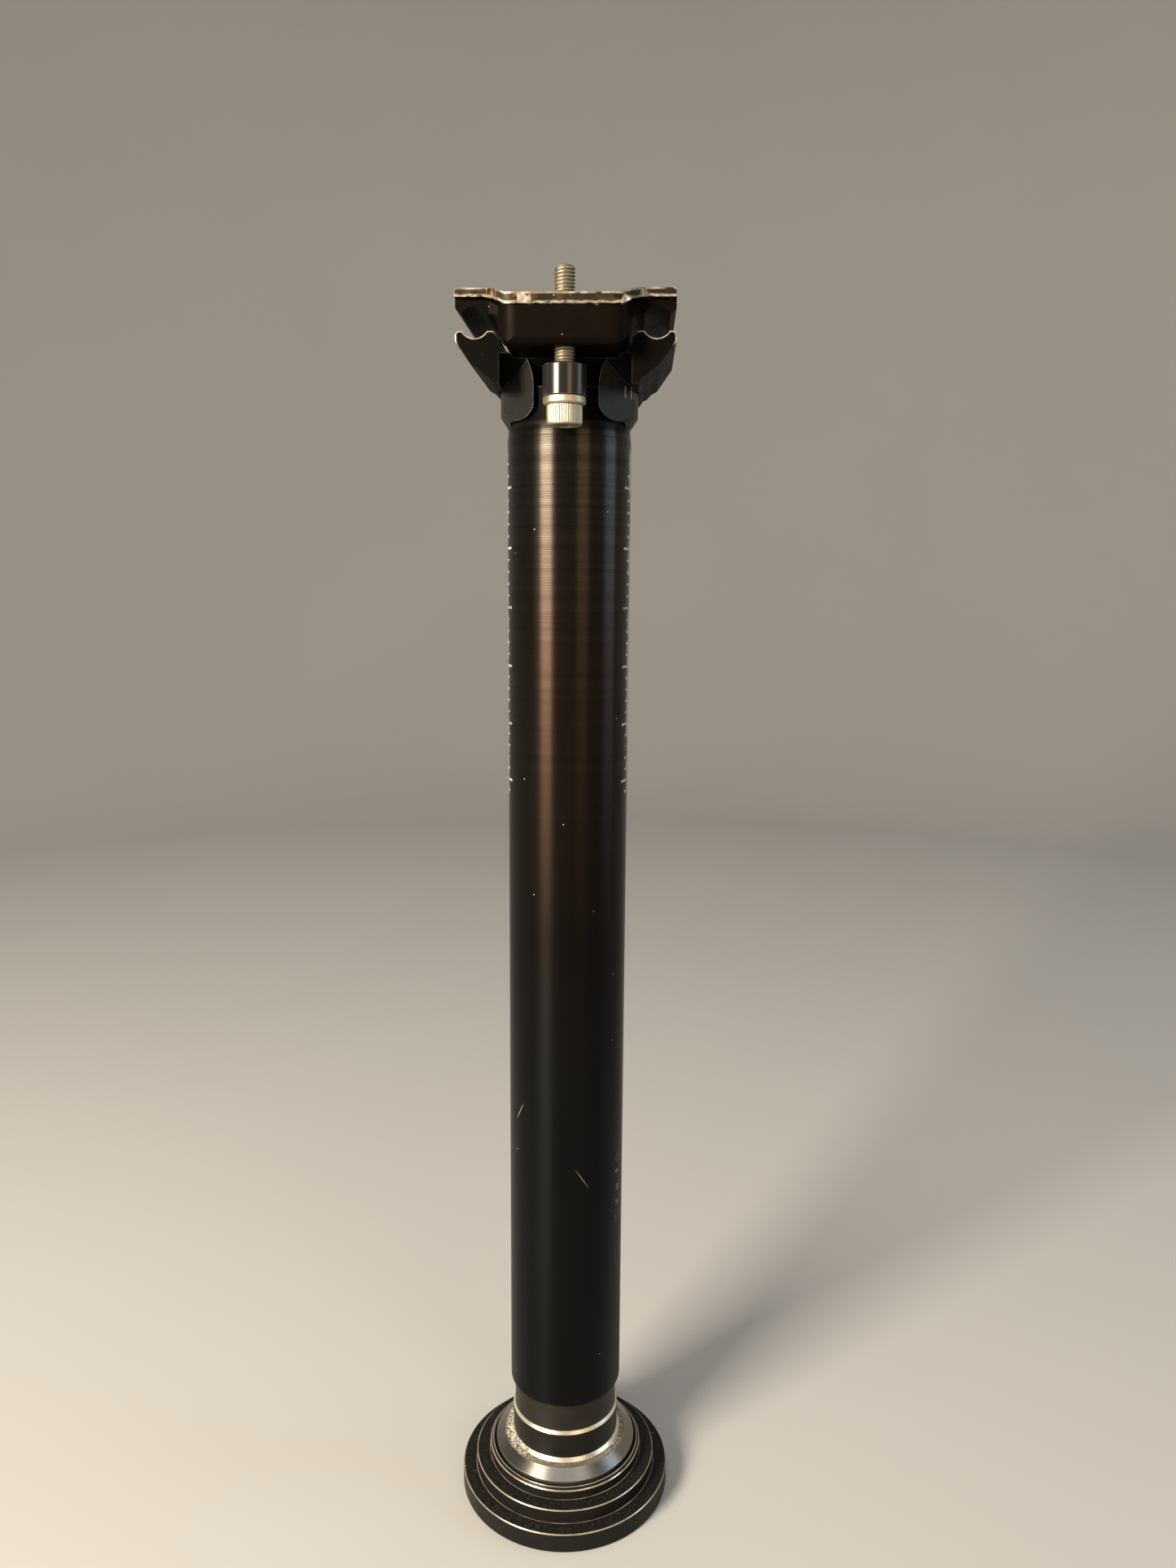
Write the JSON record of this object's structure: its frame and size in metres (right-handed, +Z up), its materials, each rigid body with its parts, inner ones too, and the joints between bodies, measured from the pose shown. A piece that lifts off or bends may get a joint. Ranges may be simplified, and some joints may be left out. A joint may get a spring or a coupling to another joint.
{
  "type": "seatpost",
  "caption": "Straight round seatpost with a two-bolt saddle rail clamp that tilts, standing on a stepped round foot.",
  "frame": {"origin": "centre of the foot's underside, on the post's centre line", "axes": "+Z up along the post, X across the bicycle along the clamp's tilt axis, -Y towards the front bolt"},
  "size_m": [0.06, 0.06, 0.3342],
  "materials": {
    "anodised_tube": "black anodised over fine turning lines",
    "anodised_clamp": "black anodised, machined, worn bright along the edges",
    "anodised_foot": "black anodised discs with dull faces and thin worn edges",
    "plated_steel": "nickel plated, slightly yellowed",
    "turned_steel": "satin turned steel",
    "dark_steel": "dark satin, brown-grey"
  },
  "bodies": {
    "foot": {"foot_disc_large": "anodised_foot", "foot_disc_medium": "anodised_foot", "foot_disc_small": "anodised_foot", "foot_cone_ring": "turned_steel", "foot_lower_ring": "turned_steel", "foot_sleeve": "dark_steel", "foot_upper_ring": "turned_steel", "foot_stem": "dark_steel", "foot_washer": "plated_steel", "foot_screw": "plated_steel"},
    "post": {"post_body": "anodised_tube", "front_washer": "plated_steel", "rear_washer": "plated_steel"},
    "front_bolt": {"front_bolt": "plated_steel"},
    "rear_bolt": {"rear_bolt": "plated_steel"},
    "lower_clamp": {"lower_clamp": "anodised_clamp"},
    "upper_clamp": {"upper_clamp": "anodised_clamp"},
    "front_nut": {"front_barrel_nut": "plated_steel"},
    "rear_nut": {"rear_barrel_nut": "plated_steel"}
  },
  "joints": [
    {"name": "post_lift", "type": "slide", "parent": "foot", "child": "post", "axis": [0, 0, 1], "range_m": [0, 0.12]},
    {"name": "front_bolt_turn", "type": "hinge", "parent": "post", "child": "front_bolt", "pos_m": [0, -0.021, 0.303], "axis": [0, 0, -1], "range_deg": [0, 1445]},
    {"name": "rear_bolt_turn", "type": "hinge", "parent": "post", "child": "rear_bolt", "pos_m": [0, 0.021, 0.303], "axis": [0, 0, -1], "range_deg": [0, 1445]},
    {"name": "clamp_tilt", "type": "hinge", "parent": "post", "child": "lower_clamp", "pos_m": [0, 0, 0.3244], "axis": [1, 0, 0], "range_deg": [-7, 7]},
    {"name": "upper_clamp_lift", "type": "slide", "parent": "lower_clamp", "child": "upper_clamp", "axis": [0, 0, 1], "range_m": [0, 0.0032]},
    {"name": "front_nut_turn", "type": "hinge", "parent": "upper_clamp", "child": "front_nut", "pos_m": [0, -0.021, 0.3235], "axis": [1, 0, 0], "range_deg": [-7.5, 7.5]},
    {"name": "rear_nut_turn", "type": "hinge", "parent": "upper_clamp", "child": "rear_nut", "pos_m": [0, 0.021, 0.3235], "axis": [1, 0, 0], "range_deg": [-7.5, 7.5]}
  ],
  "couplings": [
    {"joint": "front_bolt_turn", "follows": "upper_clamp_lift", "rad_per_m": 7854},
    {"joint": "rear_bolt_turn", "follows": "upper_clamp_lift", "rad_per_m": 7854},
    {"joint": "front_nut_turn", "follows": "clamp_tilt", "ratio": -1},
    {"joint": "rear_nut_turn", "follows": "clamp_tilt", "ratio": -1}
  ]
}
